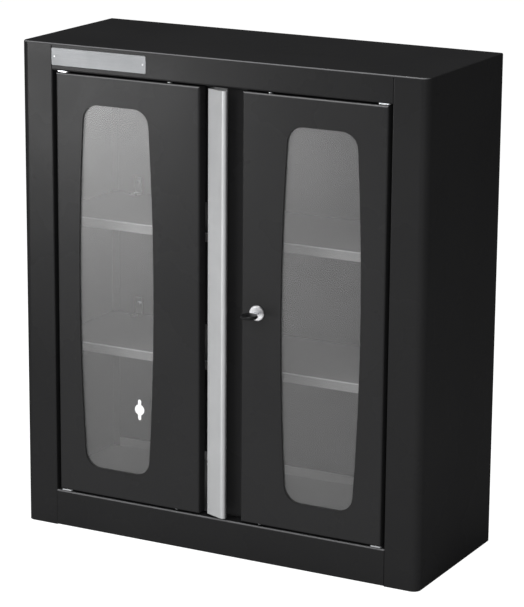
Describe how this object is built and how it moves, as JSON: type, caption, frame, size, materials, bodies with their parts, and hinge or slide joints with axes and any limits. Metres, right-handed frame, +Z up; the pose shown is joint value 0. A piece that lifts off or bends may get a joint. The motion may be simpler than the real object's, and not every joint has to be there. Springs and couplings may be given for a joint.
{
  "type": "wall cabinet",
  "caption": "Dark grey steel wall cabinet with windowed hinged doors, inner shelves, a full-length aluminium handle and a key lock that drives rods.",
  "frame": {"origin": "on the wall face, midway across and halfway up", "axes": "+X to the viewer's right, +Y into the wall, +Z up; the front looks along -Y"},
  "size_m": [0.736, 0.325, 0.828],
  "materials": {
    "dark_grey_paint": "semi-gloss powder coat",
    "window_plastic": "clear plastic pane",
    "black_rubber": "matte",
    "white_nylon": "moulded",
    "anodised_aluminium": "satin anodised",
    "lock_chrome": "bright plated",
    "black_plastic": "moulded",
    "zinc_steel": "zinc plated"
  },
  "bodies": {
    "cabinet": {"back_panel": "dark_grey_paint", "bottom_rail": "dark_grey_paint", "door_stops": "zinc_steel", "floor_panel": "dark_grey_paint", "hinge_screws": "zinc_steel", "left_lower_hinge_plate": "zinc_steel", "left_side_panel": "dark_grey_paint", "left_stile": "dark_grey_paint", "left_upper_hinge_plate": "zinc_steel", "lower_shelf": "dark_grey_paint", "right_lower_hinge_plate": "zinc_steel", "right_side_panel": "dark_grey_paint", "right_stile": "dark_grey_paint", "right_upper_hinge_plate": "zinc_steel", "shelf_angles": "dark_grey_paint", "shelf_brackets": "zinc_steel", "shelf_screws": "zinc_steel", "top_panel": "dark_grey_paint", "top_rail": "dark_grey_paint", "upper_shelf": "dark_grey_paint"},
    "left_door": {"left_door_skin": "dark_grey_paint", "left_pane": "window_plastic", "left_pane_gasket": "black_rubber", "left_pane_retainer": "dark_grey_paint", "left_pane_nuts": "zinc_steel", "left_hinge_bushes": "white_nylon", "left_bolt_brackets": "zinc_steel"},
    "right_door": {"right_door_skin": "dark_grey_paint", "right_pane": "window_plastic", "right_pane_gasket": "black_rubber", "right_pane_retainer": "dark_grey_paint", "right_pane_nuts": "zinc_steel", "right_hinge_bushes": "white_nylon", "handle_profile": "anodised_aluminium", "handle_screws": "zinc_steel", "lock_housing": "lock_chrome", "lock_nut": "zinc_steel", "rod_guides": "zinc_steel"},
    "lock": {"lock_plug": "lock_chrome", "lock_cam": "zinc_steel", "cam_screw": "zinc_steel"},
    "upper_rod": {"upper_lock_rod": "zinc_steel"},
    "lower_rod": {"lower_lock_rod": "zinc_steel"},
    "key": {"key_blade": "zinc_steel", "key_bow": "black_plastic"},
    "upper_bolt": {"left_upper_bolt": "zinc_steel"},
    "lower_bolt": {"left_lower_bolt": "zinc_steel"}
  },
  "joints": [
    {"name": "left_door_hinge", "type": "hinge", "parent": "cabinet", "child": "left_door", "pos_m": [-0.291, -0.2745, 0], "axis": [0, 0, -1], "range_deg": [0, 110]},
    {"name": "right_door_hinge", "type": "hinge", "parent": "cabinet", "child": "right_door", "pos_m": [0.291, -0.2745, 0], "axis": [0, 0, 1], "range_deg": [0, 110]},
    {"name": "lock_turn", "type": "hinge", "parent": "right_door", "child": "lock", "pos_m": [0.075, -0.284, 0.00875], "axis": [0, -1, 0], "range_deg": [0, 90]},
    {"name": "upper_rod_slide", "type": "slide", "parent": "right_door", "child": "upper_rod", "axis": [0, 0, 1], "range_m": [0, 0.02546]},
    {"name": "lower_rod_slide", "type": "slide", "parent": "right_door", "child": "lower_rod", "axis": [0, 0, -1], "range_m": [0, 0.02546]},
    {"name": "key_slide", "type": "slide", "parent": "lock", "child": "key", "axis": [0, -1, 0], "range_m": [0, 0.025]},
    {"name": "upper_bolt_slide", "type": "slide", "parent": "left_door", "child": "upper_bolt", "axis": [0, 0, 1], "range_m": [0, 0.02]},
    {"name": "lower_bolt_slide", "type": "slide", "parent": "left_door", "child": "lower_bolt", "axis": [0, 0, -1], "range_m": [0, 0.02]}
  ],
  "couplings": [
    {"joint": "lock_turn", "follows": "upper_rod_slide", "rad_per_m": 61.706},
    {"joint": "lower_rod_slide", "follows": "upper_rod_slide", "ratio": 1}
  ]
}
